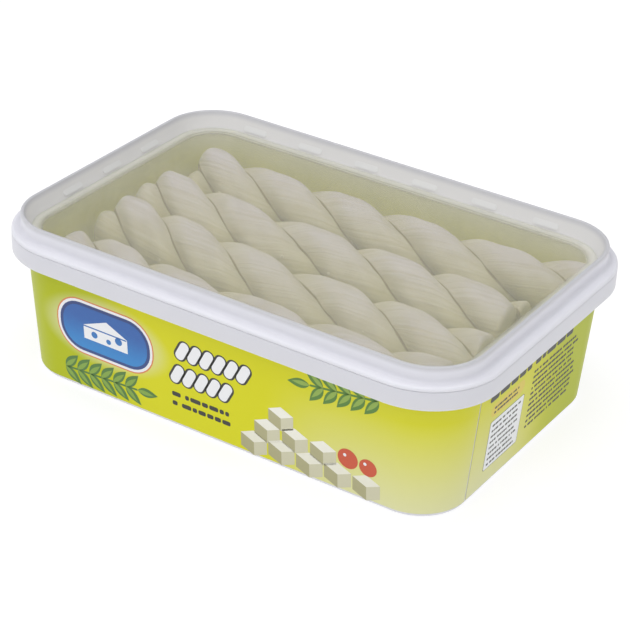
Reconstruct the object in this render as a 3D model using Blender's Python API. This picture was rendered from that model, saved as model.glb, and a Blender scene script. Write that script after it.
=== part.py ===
"""A lidded tub of twisted string cheese in brine, built as separate closed solids.

The tub is a tapered box with rounded corners, a hanging skirt and an upright lip. A snap lid rides on the
skirt's shoulder, with a raised stacking ring over the lip and a recessed flat panel inside it. A thin printed
label wraps the wall. Inside, four ropes of cheese, each laid from three strands, lie side by side in brine.

Units are metres, +Z is up, +X runs along the tub's length, and the origin is the middle of the base.
"""

import math
from dataclasses import dataclass

import bpy

MM = 0.001

# Plan outline at the skirt, which every other outline is moved in from. The lip and its ring turn tighter
LENGTH = 187.0 * MM
WIDTH = 126.4 * MM
BODY_CORNER = 26.0 * MM
RING_CORNER = 23.9 * MM
CORNER_STEPS = 6

# Heights
SKIRT_BOTTOM_Z = 45.7 * MM
SHOULDER_Z = 52.4 * MM
LIP_TOP_Z = 54.2 * MM
LID_TOP_Z = 59.35 * MM
PANEL_TOP_Z = 53.4 * MM
BRINE_TOP_Z = 50.9 * MM

# Wall: insets are measured from the skirt's outer face
WALL_INSET = 5.28 * MM
WALL_DRAFT = 0.0781
WALL_THICKNESS = 0.9 * MM
FLOOR_THICKNESS = 1.0 * MM
FLOOR_FILLET = 2.0 * MM
FOOT_EDGE = 0.5 * MM
SKIRT_THICKNESS = 0.9 * MM
SHOULDER_THICKNESS = 1.0 * MM
LIP_OUTER_INSET = 5.4 * MM
LIP_INNER_INSET = 6.3 * MM

# Gap kept between any two neighbouring solids
GAP = 0.3 * MM

# Lid: a flange flush with the skirt, a ring over the lip that narrows to a round crest, and a panel inside it
FLANGE_THICKNESS = 1.4 * MM
FLANGE_ROUNDING = 0.9 * MM
RING_OUTER_INSET = 4.1 * MM
RING_INNER_INSET = 7.8 * MM
RING_EDGE = 0.6 * MM
RING_ROOF_Z = 57.4 * MM
RING_ROOF_WIDTH = 0.2 * MM
PANEL_THICKNESS = 0.9 * MM
PANEL_FILLET = 0.6 * MM

# Label: its outer face is the tub's visible wall, and its two ends nearly meet on the right-hand wall
LABEL_THICKNESS = 0.25 * MM
LABEL_BOTTOM_Z = 1.8 * MM
LABEL_TOP_Z = 47.5 * MM
LABEL_SEAM_Y = -36.6 * MM
LABEL_SEAM_WIDTH = 0.8 * MM

# Rope section: three elliptical strands, set off from the middle and pressed into each other
STRANDS = 3
STRAND_TURN = 2.0 * math.pi / STRANDS
STRAND_OFFSET = 6.3 * MM
STRAND_DEPTH = 6.9 * MM
STRAND_WIDTH = 7.9 * MM
LOBE_ANGLES = tuple(math.radians(a) for a in (-60.0, -34.0, -11.5, 11.5, 34.0))
RINGS_PER_CREST = 4

# Rope ends: distance from the end and the section's scale there
LEFT_END = ((0.0, 0.60), (1.5 * MM, 0.85), (4.0 * MM, 0.97))
RIGHT_END = ((0.0, 0.88), (1.0 * MM, 0.98))

# A rope's middle line lies straight between these stations and sways beyond them
LEFT_SWAY_X = -15.0 * MM
RIGHT_SWAY_X = 45.0 * MM


@dataclass(frozen=True)
class Rope:
    """One rope of cheese: where it lies, and where along it a strand tops out. All in millimetres."""

    name: str
    left_x: float
    right_x: float
    centre_y: float
    left_sway: float
    right_sway: float
    crests_x: tuple
    centre_z: float = 38.6
    girth: float = 1.0


ROPES = (
    Rope("rope_1", -78.0, 79.5, 37.2, 2.0, 2.8, (-96.0, -66.0, -36.0, -6.0, 26.0, 56.5, 87.0)),
    Rope("rope_2", -82.0, 75.0, 9.9, 3.6, 0.0, (-91.0, -65.0, -35.0, 1.0, 31.5, 61.5, 92.0)),
    Rope("rope_3", -81.0, 80.0, -17.0, 4.4, 0.0, (-91.0, -66.0, -40.0, -8.0, 26.0, 53.5, 84.0)),
    Rope("rope_4", -76.0, 76.0, -42.8, 1.5, 1.5, (-103.0, -73.0, -48.0, -20.0, 16.5, 47.0, 78.0, 108.0),
         centre_z=39.4, girth=0.925),
)


def clear_scene():
    """Remove whatever the open file holds."""
    for thing in list(bpy.data.objects):
        bpy.data.objects.remove(thing)


def material(name, colour, roughness, alpha=1.0):
    """Return a plain Principled material."""
    result = bpy.data.materials.new(name)
    result.use_nodes = True
    shader = result.node_tree.nodes["Principled BSDF"]
    shader.inputs["Base Color"].default_value = (*colour, 1.0)
    shader.inputs["Roughness"].default_value = roughness
    shader.inputs["Metallic"].default_value = 0.0
    shader.inputs["Alpha"].default_value = alpha
    return result


def add_object(name, points, faces, finish):
    """Make a mesh object from points and faces, and link it to the scene."""
    mesh = bpy.data.meshes.new(name)
    mesh.from_pydata(points, [], faces)
    mesh.materials.append(finish)
    mesh.validate()
    mesh.shade_smooth()
    mesh.set_sharp_from_angle(angle=math.radians(35.0))
    thing = bpy.data.objects.new(name, mesh)
    bpy.context.scene.collection.objects.link(thing)
    return thing


def plan_outline(corner, inset, z):
    """Return the outline with the given corner radius, moved in by inset, anticlockwise from above, at z."""
    radius = corner - inset
    centre_x = LENGTH / 2.0 - corner
    centre_y = WIDTH / 2.0 - corner
    points = []
    for quarter, (side_x, side_y) in enumerate(((1, 1), (-1, 1), (-1, -1), (1, -1))):
        for step in range(CORNER_STEPS + 1):
            angle = math.radians(90.0 * (quarter + step / CORNER_STEPS))
            x = side_x * centre_x + radius * math.cos(angle)
            y = side_y * centre_y + radius * math.sin(angle)
            points.append((x, y, z))
    return points


def body_loop(inset, z):
    """A loop of the skirt, flange, wall, label or brine."""
    return plan_outline(BODY_CORNER, inset, z)


def ring_loop(inset, z):
    """A loop of the lip, the lid's ring or its panel."""
    return plan_outline(RING_CORNER, inset, z)


def join_loops(loop_count, loop_size, closed=True):
    """Return the quads between successive loops of equal size."""
    faces = []
    for row in range(loop_count - 1):
        for start in range(loop_size if closed else loop_size - 1):
            after = (start + 1) % loop_size
            low = row * loop_size
            high = low + loop_size
            faces.append((low + start, low + after, high + after, high + start))
    return faces


def capped_loops(name, loops, finish):
    """Make a solid from stacked loops, its first and last loops filled. The first one faces away."""
    size = len(loops[0])
    points = [point for loop in loops for point in loop]
    faces = join_loops(len(loops), size)
    faces.append(tuple(reversed(range(size))))
    faces.append(tuple(range(len(points) - size, len(points))))
    return add_object(name, points, faces, finish)


def label_inset(z):
    """Inset of the label's outer face at height z."""
    return WALL_INSET + (SKIRT_BOTTOM_Z - z) * WALL_DRAFT


def wall_outer_inset(z):
    """Inset of the tub wall's outer face at height z, behind the label."""
    return label_inset(z) + LABEL_THICKNESS + GAP


def wall_inner_inset(z):
    """Inset of the tub wall's inner face at height z."""
    return wall_outer_inset(z) + WALL_THICKNESS


def cavity_loops(clearance, top_z):
    """The tub's inside from top_z down to its floor, moved in by clearance."""
    fillet_z = FLOOR_THICKNESS + FLOOR_FILLET
    foot_inset = wall_inner_inset(fillet_z) + clearance
    return [
        body_loop(wall_inner_inset(top_z) + clearance, top_z),
        body_loop(foot_inset, fillet_z + clearance / 3.0),
        body_loop(foot_inset + FLOOR_FILLET - clearance / 3.0, FLOOR_THICKNESS + clearance),
    ]


def build_tub(finish):
    """The tub: base, tapered wall, shoulder with its hanging skirt, and the lip that the lid snaps over."""
    shoulder_under_z = SHOULDER_Z - SHOULDER_THICKNESS
    loops = [
        body_loop(wall_outer_inset(0.0) + FOOT_EDGE, 0.0),
        body_loop(wall_outer_inset(FOOT_EDGE), FOOT_EDGE),
        body_loop(wall_outer_inset(shoulder_under_z), shoulder_under_z),
        body_loop(SKIRT_THICKNESS, shoulder_under_z),
        body_loop(SKIRT_THICKNESS, SKIRT_BOTTOM_Z),
        body_loop(0.0, SKIRT_BOTTOM_Z),
        body_loop(0.0, SHOULDER_Z),
        ring_loop(LIP_OUTER_INSET, SHOULDER_Z),
        ring_loop(LIP_OUTER_INSET, LIP_TOP_Z),
        ring_loop(LIP_INNER_INSET, LIP_TOP_Z),
        ring_loop(LIP_INNER_INSET, SHOULDER_Z),
        *cavity_loops(0.0, shoulder_under_z),
    ]
    return capped_loops("tub", loops, finish)


def build_lid(finish):
    """The snap lid: flange, a hollow ring that narrows to its crest over the lip, and the recessed panel."""
    under_z = SHOULDER_Z + GAP
    flange_top_z = under_z + FLANGE_THICKNESS
    channel_inner = LIP_INNER_INSET + GAP
    channel_outer = LIP_OUTER_INSET - GAP
    half_edge = RING_EDGE * (1.0 - math.sqrt(0.5))
    half_rounding = FLANGE_ROUNDING * (1.0 - math.sqrt(0.5))
    crest_inset = RING_OUTER_INSET + RING_EDGE
    crest_side_z = LID_TOP_Z - RING_EDGE
    loops = [
        ring_loop(channel_inner, PANEL_TOP_Z - PANEL_THICKNESS),
        ring_loop(channel_inner, LIP_TOP_Z + GAP),
        ring_loop(channel_outer + RING_ROOF_WIDTH, RING_ROOF_Z),
        ring_loop(channel_outer, RING_ROOF_Z),
        ring_loop(channel_outer, under_z),
        body_loop(0.0, under_z),
        body_loop(0.0, flange_top_z - FLANGE_ROUNDING),
        body_loop(half_rounding, flange_top_z - half_rounding),
        body_loop(FLANGE_ROUNDING, flange_top_z),
        ring_loop(RING_OUTER_INSET, flange_top_z),
        ring_loop(RING_OUTER_INSET, crest_side_z),
        ring_loop(RING_OUTER_INSET + half_edge, LID_TOP_Z - half_edge),
        ring_loop(crest_inset, LID_TOP_Z),
        ring_loop(crest_inset + RING_EDGE - half_edge, LID_TOP_Z - half_edge),
        ring_loop(crest_inset + RING_EDGE, crest_side_z),
        ring_loop(RING_INNER_INSET, PANEL_TOP_Z + PANEL_FILLET),
        ring_loop(RING_INNER_INSET + PANEL_FILLET, PANEL_TOP_Z),
    ]
    return capped_loops("lid", loops, finish)


def seamed_outline(inset, z):
    """The plan outline as an open line that starts and ends on either side of the label's seam."""
    x = LENGTH / 2.0 - inset
    after = (x, LABEL_SEAM_Y + LABEL_SEAM_WIDTH / 2.0, z)
    before = (x, LABEL_SEAM_Y - LABEL_SEAM_WIDTH / 2.0, z)
    return [after, *body_loop(inset, z), before]


def build_label(finish):
    """The printed label: a thin sheet round the wall, its two ends standing a little apart."""
    low, high = LABEL_BOTTOM_Z, LABEL_TOP_Z
    loops = [
        seamed_outline(label_inset(low), low),
        seamed_outline(label_inset(high), high),
        seamed_outline(label_inset(high) + LABEL_THICKNESS, high),
        seamed_outline(label_inset(low) + LABEL_THICKNESS, low),
    ]
    size = len(loops[0])
    points = [point for loop in loops for point in loop]
    faces = join_loops(len(loops), size, closed=False)
    for start in range(size - 1):
        faces.append((3 * size + start, 3 * size + start + 1, start + 1, start))
    faces.append((0, size, 2 * size, 3 * size))
    faces.append((4 * size - 1, 3 * size - 1, 2 * size - 1, size - 1))
    return add_object("label", points, faces, finish)


def lobe_radius(angle, offset, depth, width):
    """Distance from the rope's middle to an elliptical strand's outer face, at an angle from its crown."""
    cosine, sine = math.cos(angle), math.sin(angle)
    square = (cosine / depth) ** 2 + (sine / width) ** 2
    half = offset * cosine / depth**2
    return (half + math.sqrt(half**2 - square * ((offset / depth) ** 2 - 1.0))) / square


def rope_section(rope, clearance):
    """The rope's outline as (angle, radius) pairs, its first strand's crown at angle 0."""
    sizes = [size * rope.girth for size in (STRAND_OFFSET, STRAND_DEPTH, STRAND_WIDTH)]
    sizes[1] += clearance
    sizes[2] += clearance
    pairs = []
    for strand in range(STRANDS):
        for angle in LOBE_ANGLES:
            pairs.append((strand * STRAND_TURN + angle, lobe_radius(angle, *sizes)))
    return pairs


def twist(rope, x):
    """Angle that the rope's strands have turned through at x: one strand is on top at each crest."""
    crests = [crest * MM for crest in rope.crests_x]
    index = max(i for i in range(len(crests) - 1) if i == 0 or crests[i] <= x)
    share = (x - crests[index]) / (crests[index + 1] - crests[index])
    return math.pi / 2.0 + (index + share) * STRAND_TURN


def smooth_step(share):
    """Ease from 0 to 1, flat beyond both."""
    share = min(max(share, 0.0), 1.0)
    return share * share * (3.0 - 2.0 * share)


def middle_y(rope, x):
    """The rope's middle line seen from above, which sways at both ends."""
    left = smooth_step((LEFT_SWAY_X - x) / (LEFT_SWAY_X - rope.left_x * MM))
    right = smooth_step((x - RIGHT_SWAY_X) / (rope.right_x * MM - RIGHT_SWAY_X))
    return (rope.centre_y + rope.left_sway * left + rope.right_sway * right) * MM


def rope_stations(rope, clearance):
    """Where the rope's rings stand: (x, scale) from end to end, with a ring at every crest."""
    left = rope.left_x * MM - clearance
    right = rope.right_x * MM + clearance
    first = left + LEFT_END[-1][0]
    last = right - RIGHT_END[-1][0]
    spare = 1.5 * MM
    stations = [(left + distance, scale) for distance, scale in LEFT_END]
    for start, end in zip(rope.crests_x, rope.crests_x[1:]):
        for step in range(RINGS_PER_CREST):
            x = (start + (end - start) * step / RINGS_PER_CREST) * MM
            if first + spare < x < last - spare:
                stations.append((x, 1.0))
    stations += [(right - distance, scale) for distance, scale in reversed(RIGHT_END)]
    return stations


def build_rope(name, rope, finish, clearance=0.0):
    """A rope of three strands laid together, as one solid. A clearance makes it fatter all round."""
    section = rope_section(rope, clearance)
    loops = []
    for x, scale in rope_stations(rope, clearance):
        turn = twist(rope, x)
        loop = []
        for angle, radius in section:
            y = middle_y(rope, x) + scale * radius * math.cos(turn + angle)
            z = rope.centre_z * MM + scale * radius * math.sin(turn + angle)
            loop.append((x, y, z))
        loops.append(loop)
    return capped_loops(name, loops, finish)


def build_brine(finish):
    """The brine: fills the tub up to its level, cut round the ropes, whose crests break its surface."""
    loops = list(reversed(cavity_loops(GAP, BRINE_TOP_Z)))
    brine = capped_loops("brine", loops, finish)
    for rope in ROPES:
        cutter = build_rope("round_" + rope.name, rope, finish, clearance=GAP)
        cutter.hide_render = True
        cutter.display_type = "WIRE"
        cut = brine.modifiers.new("Cut round " + rope.name, "BOOLEAN")
        cut.operation = "DIFFERENCE"
        cut.solver = "EXACT"
        cut.object = cutter
    return brine


def main():
    """Build every piece of the tub of cheese."""
    clear_scene()
    build_tub(material("white polypropylene", (0.84, 0.84, 0.86), 0.35))
    build_label(material("printed label", (0.58, 0.60, 0.07), 0.35))
    build_lid(material("clear polypropylene", (0.86, 0.87, 0.88), 0.25, alpha=0.45))
    build_brine(material("brine", (0.62, 0.60, 0.33), 0.05, alpha=0.6))
    cheese = material("string cheese", (0.72, 0.69, 0.58), 0.5)
    for rope in ROPES:
        build_rope(rope.name, rope, cheese)


main()
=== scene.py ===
"""Looks for a lidded tub of twisted string cheese in brine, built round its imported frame.

The tub, its see-through lid, the printed label, the brine and the four ropes of cheese are each remade as a
fine mesh in the place of their plain solid, and each gets the finish of the real material. All sizes are in
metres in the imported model's own frame: +X along the tub, +Y to its back, +Z up, with the origin in the middle
of the base.
"""

import logging
import math
from dataclasses import dataclass, field
from enum import Enum

import bpy
import numpy as np
from mathutils import Matrix, Vector


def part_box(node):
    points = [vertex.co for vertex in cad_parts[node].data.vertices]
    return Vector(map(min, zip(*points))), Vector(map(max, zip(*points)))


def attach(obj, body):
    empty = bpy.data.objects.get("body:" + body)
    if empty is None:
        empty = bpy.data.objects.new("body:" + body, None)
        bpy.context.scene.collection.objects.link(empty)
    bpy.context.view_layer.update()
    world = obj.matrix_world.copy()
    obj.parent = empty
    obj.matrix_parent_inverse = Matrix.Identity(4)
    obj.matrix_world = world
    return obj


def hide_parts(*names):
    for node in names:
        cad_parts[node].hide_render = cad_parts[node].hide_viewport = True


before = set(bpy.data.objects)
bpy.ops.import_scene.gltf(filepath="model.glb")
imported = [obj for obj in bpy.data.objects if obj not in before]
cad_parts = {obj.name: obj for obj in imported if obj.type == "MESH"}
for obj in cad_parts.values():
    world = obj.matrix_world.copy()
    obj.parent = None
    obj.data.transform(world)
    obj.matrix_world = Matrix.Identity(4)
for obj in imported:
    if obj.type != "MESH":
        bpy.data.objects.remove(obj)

MM = 0.001
BODY = "root"
MIX_A, MIX_B, MIX_OUT = 6, 7, 2  # colour sockets of Blender's Mix node
# the second attribute marks where the cheese gets its painted crease shade
FIBRE, CREASE_SHADE = "fibre", "crease_shade"  # attributes of the cheese's meshes

log = logging.getLogger("string_cheese_tub")

Point = tuple[float, float, float]
Flat = tuple[float, float]
Tint = str | bpy.types.NodeSocket


# ---------------------------------------------------------------- node and colour helpers


def linear(code: str) -> tuple[float, float, float, float]:
    """Turn an sRGB hex colour into linear RGBA.

    Args:
        code: Six hex digits, such as "F0F1F4".

    Returns:
        Linear red, green, blue, and an alpha of 1.
    """
    shares = [int(code[start:start + 2], 16) / 255.0 for start in (0, 2, 4)]
    turned = [s / 12.92 if s <= 0.04045 else ((s + 0.055) / 1.055) ** 2.4 for s in shares]
    return (*turned, 1.0)


def add_node(tree: bpy.types.NodeTree, kind: str, sockets: dict | None = None, **settings) -> bpy.types.Node:
    """Add a shader node with its settings and links.

    Args:
        tree: The node tree that the node joins.
        kind: The node's type without "ShaderNode", such as "TexNoise".
        sockets: Input names or numbers, each with a value or with the output socket that feeds it.
        settings: The node's own properties, such as operation.

    Returns:
        The new node.
    """
    node = tree.nodes.new("ShaderNode" + kind)
    for name, value in settings.items():
        setattr(node, name, value)
    for name, value in (sockets or {}).items():
        if isinstance(value, bpy.types.NodeSocket):
            tree.links.new(value, node.inputs[name])
        else:
            node.inputs[name].default_value = value
    return node


# ---------------------------------------------------------------- finishes


@dataclass(frozen=True)
class Finish:
    """What every finish shares: a name, a colour, and the Principled shader that carries them."""

    name: str
    colour: str
    roughness: float = 0.4
    ior: float = 1.49

    def make(self) -> bpy.types.Material:
        """Build the material.

        Returns:
            The finished material.
        """
        result = bpy.data.materials.new(self.name)
        result.use_nodes = True
        tree = result.node_tree
        shader = tree.nodes["Principled BSDF"]
        shader.inputs["Base Color"].default_value = linear(self.colour)
        shader.inputs["Roughness"].default_value = self.roughness
        shader.inputs["IOR"].default_value = self.ior
        self.dress(tree, shader)
        return result

    def dress(self, tree: bpy.types.NodeTree, shader: bpy.types.Node) -> None:
        """Add what is special to this finish. The plain finish adds nothing."""

    def place(self, tree: bpy.types.NodeTree) -> bpy.types.NodeSocket:
        """Give the surface point in metres, the same on every piece."""
        return add_node(tree, "TexCoord").outputs["Object"]

    def height(self, tree: bpy.types.NodeTree) -> bpy.types.NodeSocket:
        """Give the surface point's height in metres."""
        return add_node(tree, "SeparateXYZ", {"Vector": self.place(tree)}).outputs["Z"]

    def vector(self, tree: bpy.types.NodeTree, operation: str, first: bpy.types.NodeSocket,
               second: Point = (0.0, 0.0, 0.0)) -> bpy.types.NodeSocket:
        """Work out one step of vector arithmetic, such as "SUBTRACT" or "LENGTH"."""
        node = add_node(tree, "VectorMath", {0: first, 1: second}, operation=operation)
        return node.outputs["Value" if operation in ("LENGTH", "DOT_PRODUCT") else "Vector"]

    def noise(self, tree: bpy.types.NodeTree, grain: float, detail: float = 2.0) -> bpy.types.NodeSocket:
        """Add a noise from 0 to 1, whose blotches are about grain metres large, with finer octaves."""
        sockets = {"Vector": self.place(tree), "Scale": 1.0 / grain, "Detail": detail}
        return add_node(tree, "TexNoise", sockets).outputs[0]

    def relief(self, tree: bpy.types.NodeTree, shader: bpy.types.Node, height: bpy.types.NodeSocket,
               depth: float) -> None:
        """Feed a height into the shader's normal.

        Args:
            tree: The material's node tree.
            shader: The Principled shader.
            height: The height, from 0 to 1.
            depth: The relief's full depth in metres.
        """
        bump = add_node(tree, "Bump", {"Height": height, "Distance": depth, "Strength": 1.0})
        tree.links.new(bump.outputs[0], shader.inputs["Normal"])

    def mirrored(self, tree: bpy.types.NodeTree, under: bpy.types.NodeSocket,
                 share: float = 1.0) -> bpy.types.Node:
        """Lay a thin skin's gloss over a see-through shader, the same seen from either side.

        Args:
            tree: The material's node tree.
            under: The shader beneath the gloss.
            share: How much of a clean surface's reflection is left.

        Returns:
            The mixed shader.
        """
        facing = add_node(tree, "LayerWeight", {"Blend": 0.5}).outputs["Facing"]
        rise = add_node(tree, "Math", {0: facing, 1: 5.0}, operation="POWER").outputs[0]
        square_on = ((self.ior - 1.0) / (self.ior + 1.0)) ** 2
        strength = add_node(tree, "Math", {0: rise, 1: share * (1.0 - square_on), 2: share * square_on},
                            operation="MULTIPLY_ADD").outputs[0]
        gloss = add_node(tree, "BsdfGlossy", {"Color": (1.0, 1.0, 1.0, 1.0), "Roughness": self.roughness})
        return add_node(tree, "MixShader", {0: strength, 1: under, 2: gloss.outputs[0]})

    def spread(self, tree: bpy.types.NodeTree, value: bpy.types.NodeSocket, low: float,
               high: float, start: float = 0.0, end: float = 1.0) -> bpy.types.NodeSocket:
        """Map a value from start..end onto low..high."""
        sockets = {"Value": value, "From Min": start, "From Max": end, "To Min": low, "To Max": high}
        return add_node(tree, "MapRange", sockets, interpolation_type="SMOOTHSTEP").outputs[0]

    def blend(self, tree: bpy.types.NodeTree, share: bpy.types.NodeSocket, first: Tint,
              second: Tint) -> bpy.types.NodeSocket:
        """Mix two colours, each a hex code or a socket, by a share from 0 to 1.

        Args:
            tree: The material's node tree.
            share: The second colour's share.
            first: The first colour.
            second: The second colour.

        Returns:
            The mixed colour.
        """
        pair = [linear(c) if isinstance(c, str) else c for c in (first, second)]
        sockets = {0: share, MIX_A: pair[0], MIX_B: pair[1]}
        return add_node(tree, "Mix", sockets, data_type="RGBA").outputs[MIX_OUT]


@dataclass(frozen=True)
class MouldedPolypropylene(Finish):
    """Polypropylene, injection moulded: a satin skin with a faint orange peel and a little see-into depth.

    From one height to another its colour can shade into a second one, painted there for light and shade.
    """

    peel: float = 0.9 * MM
    peel_depth: float = 0.012 * MM
    flow: float = 9.0 * MM
    glow: float = 0.5
    depth: float = 2.0 * MM
    # second colour between two heights: painted light and shade
    thin: str = ""
    painted_tone_from: float = 57.0 * MM
    painted_tone_to: float = 59.2 * MM

    def dress(self, tree: bpy.types.NodeTree, shader: bpy.types.Node) -> None:
        """Add the orange peel, flow marks in the gloss, the shallow glow, and the painted light and shade by
        height.

        Args:
            tree: The material's node tree.
            shader: The Principled shader.
        """
        flow = self.noise(tree, self.flow, 3.0)
        tree.links.new(self.spread(tree, flow, self.roughness - 0.06, self.roughness + 0.08),
                       shader.inputs["Roughness"])
        self.relief(tree, shader, self.noise(tree, self.peel, 1.0), self.peel_depth)
        # painted light and shade: the colour shades into the second one between the two heights
        if self.thin:
            share = self.spread(tree, self.height(tree), 0.0, 1.0, self.painted_tone_from, self.painted_tone_to)
            tree.links.new(self.blend(tree, share, self.colour, self.thin), shader.inputs["Base Color"])
        shader.inputs["Subsurface Weight"].default_value = self.glow
        shader.inputs["Subsurface Radius"].default_value = (1.0, 1.0, 1.0)
        shader.inputs["Subsurface Scale"].default_value = self.depth


@dataclass(frozen=True)
class ClearPolypropylene(Finish):
    """Thin natural polypropylene: clear enough to see the food, with the milky haze of its crystals.

    The haze thickens over the last few millimetres of the panel, whose outline is a rounded rectangle.
    """

    haze: float = 0.08
    cloud: float = 16.0 * MM
    onward: float = 0.06
    half: Flat = (80.0 * MM, 50.0 * MM)
    corner: float = 16.0 * MM
    edge_haze: float = 0.72
    edge: float = 4.2 * MM
    edge_colour: str = "F6F6EE"
    through: float = 0.45
    gloss: float = 0.3

    def dress(self, tree: bpy.types.NodeTree, shader: bpy.types.Node) -> None:
        """Let most of the light straight through, and keep the haze and the gloss as a thin white skin.

        Args:
            tree: The material's node tree.
            shader: The Principled shader.
        """
        white = (1.0, 1.0, 1.0, 1.0)
        clear = add_node(tree, "BsdfTransparent", {"Color": white})
        soft = add_node(tree, "BsdfTranslucent", {"Color": white})
        passed = add_node(tree, "MixShader", {0: self.onward, 1: clear.outputs[0], 2: soft.outputs[0]})
        cloud = self.spread(tree, self.noise(tree, self.cloud, 2.0), self.haze * 0.93, self.haze * 1.07)
        rise = self.spread(tree, self.depth_outside(tree), 0.0, self.edge_haze, -self.edge, -0.5 * MM)
        veil = add_node(tree, "Math", {0: cloud, 1: rise}, operation="ADD", use_clamp=True)
        skin = add_node(tree, "MixShader", {0: self.through, 1: shader.outputs[0], 2: soft.outputs[0]})
        mixed = add_node(tree, "MixShader", {0: veil.outputs[0], 1: passed.outputs[0], 2: skin.outputs[0]})
        whiter = self.spread(tree, self.depth_outside(tree), 0.0, 1.0, -self.edge, -0.5 * self.edge)
        tree.links.new(self.blend(tree, whiter, self.colour, self.edge_colour), shader.inputs["Base Color"])
        shader.inputs["Specular IOR Level"].default_value = 0.0
        tree.links.new(self.mirrored(tree, mixed.outputs[0], self.gloss).outputs[0],
                       tree.nodes["Material Output"].inputs["Surface"])

    def depth_outside(self, tree: bpy.types.NodeTree) -> bpy.types.NodeSocket:
        """Give how far the surface point lies outside the panel's rounded outline, below zero inside it.

        Args:
            tree: The material's node tree.

        Returns:
            The distance in metres.
        """
        flat = self.vector(tree, "MULTIPLY", self.place(tree), (1.0, 1.0, 0.0))
        folded = self.vector(tree, "ABSOLUTE", flat)
        core = (self.half[0] - self.corner, self.half[1] - self.corner, 0.0)
        beyond = self.vector(tree, "MAXIMUM", self.vector(tree, "SUBTRACT", folded, core))
        reach = self.vector(tree, "LENGTH", beyond)
        return add_node(tree, "Math", {0: reach, 1: self.corner}, operation="SUBTRACT").outputs[0]


@dataclass(frozen=True)
class Brine(Finish):
    """Cheese brine: salty whey water, a little milky, with a yellow-green tint that grows with its depth."""

    absorbed: str = "FCFD4F"
    density: float = 20.0
    milk: str = "EEEECE"
    haze: float = 0.2
    gloss: float = 0.35

    def dress(self, tree: bpy.types.NodeTree, shader: bpy.types.Node) -> None:
        """Take the colour out along the light's way through it, with a water gloss on its top.

        Args:
            tree: The material's node tree.
            shader: The Principled shader.
        """
        clear = add_node(tree, "BsdfTransparent", {"Color": (1.0, 1.0, 1.0, 1.0)})
        milk = add_node(tree, "BsdfDiffuse", {"Color": linear(self.milk)})
        cloudy = add_node(tree, "MixShader", {0: self.haze, 1: clear.outputs[0], 2: milk.outputs[0]})
        mixed = self.mirrored(tree, cloudy.outputs[0], self.gloss)
        depth = add_node(tree, "VolumeAbsorption", {"Color": linear(self.absorbed), "Density": self.density})
        output = tree.nodes["Material Output"]
        tree.links.new(mixed.outputs[0], output.inputs["Surface"])
        tree.links.new(depth.outputs[0], output.inputs["Volume"])
        tree.nodes.remove(shader)


@dataclass(frozen=True)
class PulledCurd(Finish):
    """String cheese: hot curd pulled into fibres, moist and smooth, cream white with a soft deep glow.

    The rope's mesh carries two attributes: FIBRE holds metres across and along the fibres, and the crease
    attribute rises from 0 to 1 where a strand comes up against its neighbour, for a thin line of painted shade.
    """

    shade: str = "C6BEB8"
    # painted shade: the dark line laid along the creases between strands
    crease_shade: str = "7A6440"
    # painted shade and brine tint: the olive that the cheese turns lower down in the brine
    depth_shade: str = "978E56"
    fibre_width: float = 1.1 * MM
    fibre_length: float = 45.0 * MM
    fibre_depth: float = 0.5 * MM
    blotch: float = 11.0 * MM
    wet_spot: float = 2.5 * MM
    depth_shade_span: Flat = (35.0 * MM, 47.5 * MM)
    depth: float = 1.8 * MM

    def dress(self, tree: bpy.types.NodeTree, shader: bpy.types.Node) -> None:
        """Add the fibres' streaks, painted shade and brine tint low down, painted crease shade, an uneven gloss
        and the glow.

        Args:
            tree: The material's node tree.
            shader: The Principled shader.
        """
        along = add_node(tree, "Attribute", attribute_name=FIBRE).outputs["Vector"]
        stretch = (1.0 / self.fibre_width, 1.0 / self.fibre_length, 1.0)
        lines = self.vector(tree, "MULTIPLY", along, stretch)
        fibres = add_node(tree, "TexNoise", {"Vector": lines, "Scale": 1.0, "Detail": 2.0}).outputs[0]
        streaks = self.spread(tree, fibres, 1.0, 0.0, 0.3, 0.62)
        blotches = self.spread(tree, self.noise(tree, self.blotch, 3.0), 0.0, 0.5, 0.35, 0.75)
        mottle = add_node(tree, "Math", {0: streaks, 1: 0.55, 2: blotches}, operation="MULTIPLY_ADD",
                          use_clamp=True)
        base = self.blend(tree, mottle.outputs[0], self.colour, self.shade)
        # painted shade and brine tint: the colour turns olive below the span's upper height
        depth_shade_share = self.spread(tree, self.height(tree), 0.85, 0.0, *self.depth_shade_span)
        base = self.blend(tree, depth_shade_share, base, self.depth_shade)
        # painted shade: a thin dark line where a strand presses against its neighbour
        close = add_node(tree, "Attribute", attribute_name=CREASE_SHADE).outputs["Fac"]
        line = self.spread(tree, close, 0.0, 0.85, 0.45, 1.0)
        tree.links.new(self.blend(tree, line, base, self.crease_shade), shader.inputs["Base Color"])
        wet = self.noise(tree, self.wet_spot, 2.0)
        tree.links.new(self.spread(tree, wet, self.roughness - 0.08, self.roughness + 0.1),
                       shader.inputs["Roughness"])
        self.relief(tree, shader, fibres, self.fibre_depth)
        shader.inputs["Subsurface Weight"].default_value = 0.7
        shader.inputs["Subsurface Radius"].default_value = (1.0, 0.92, 0.8)
        shader.inputs["Subsurface Scale"].default_value = self.depth


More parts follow.
